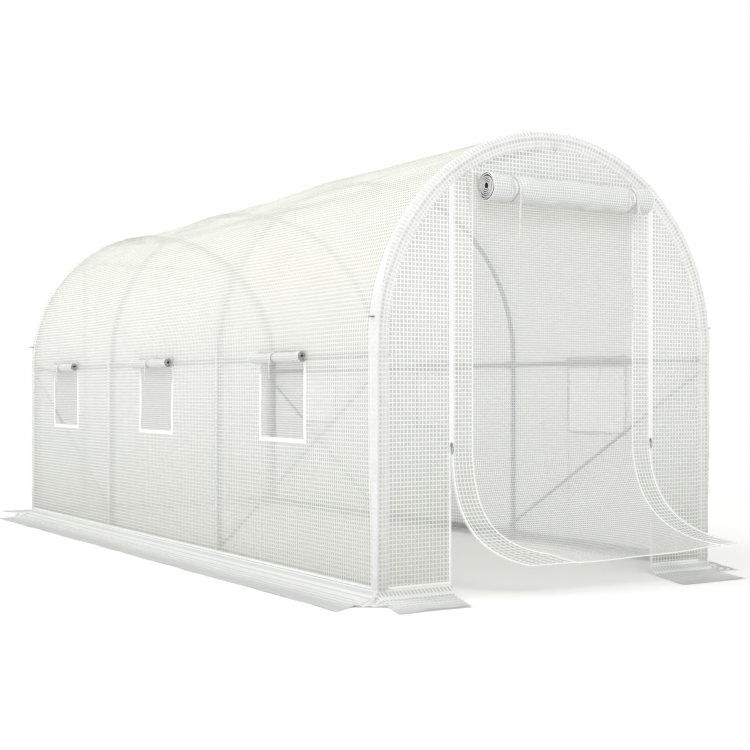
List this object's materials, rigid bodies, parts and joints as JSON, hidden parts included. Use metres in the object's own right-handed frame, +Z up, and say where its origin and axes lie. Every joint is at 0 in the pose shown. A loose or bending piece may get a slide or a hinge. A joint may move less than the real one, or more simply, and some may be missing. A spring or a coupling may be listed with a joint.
{
  "type": "polytunnel greenhouse",
  "caption": "Walk-in polytunnel greenhouse: steel tube hoops under a grid-reinforced film cover, with a rolled-up film door, an insect net door and roll-up side windows.",
  "frame": {"origin": "on the ground at the middle of the tunnel's footprint, skirts included", "axes": "+Z up, +Y along the tunnel towards its closed end, -Y out of the entrance, +X to the right seen from the entrance"},
  "size_m": [2.48, 5.26, 2],
  "materials": {
    "tube_steel": "galvanised tube, dull zinc spangle",
    "saddle_plastic": "moulded black polypropylene",
    "cover_film": "woven grid reinforced polyethylene film, translucent, satin",
    "skirt_film": "the same film lying on the ground",
    "insect_net": "fine woven polyethylene insect net",
    "zip_tape": "white woven polyester zip tape",
    "slider_metal": "dark grey zip slider",
    "tie_ribbon": "white flat polyester ribbon",
    "tab_webbing": "dark woven webbing with an eyelet"
  },
  "bodies": {
    "root": {"hoop_1_arch": "tube_steel", "hoop_1_legs": "tube_steel", "hoop_2_arch": "tube_steel", "hoop_2_legs": "tube_steel", "hoop_3_arch": "tube_steel", "hoop_3_legs": "tube_steel", "hoop_4_arch": "tube_steel", "hoop_4_legs": "tube_steel", "ridge_rail": "tube_steel", "side_rail_left": "tube_steel", "side_rail_right": "tube_steel", "base_rail_left": "tube_steel", "base_rail_right": "tube_steel", "braces_left": "tube_steel", "braces_right": "tube_steel", "side_saddles_left": "saddle_plastic", "side_saddles_right": "saddle_plastic", "ridge_saddles": "saddle_plastic", "feet_left": "saddle_plastic", "feet_right": "saddle_plastic", "roof_cover": "cover_film", "wall_cover_left": "cover_film", "wall_cover_right": "cover_film", "front_wall_left": "cover_film", "front_wall_right": "cover_film", "front_wall_top": "cover_film", "back_wall_left": "cover_film", "back_wall_right": "cover_film", "back_wall_top": "cover_film", "back_door": "cover_film", "front_door_roll": "cover_film", "window_rolls_left": "cover_film", "window_rolls_right": "cover_film", "skirt_left": "skirt_film", "skirt_right": "skirt_film", "front_skirt_left": "skirt_film", "front_skirt_right": "skirt_film", "back_skirt": "skirt_film", "front_net_door": "insect_net", "window_nets_left": "insect_net", "window_nets_right": "insect_net", "front_zip_left": "zip_tape", "front_zip_right": "zip_tape", "back_zips": "zip_tape", "door_ties": "tie_ribbon", "window_ties_left": "tie_ribbon", "window_ties_right": "tie_ribbon", "zip_sliders": "slider_metal", "guy_tabs": "tab_webbing"}
  },
  "joints": []
}
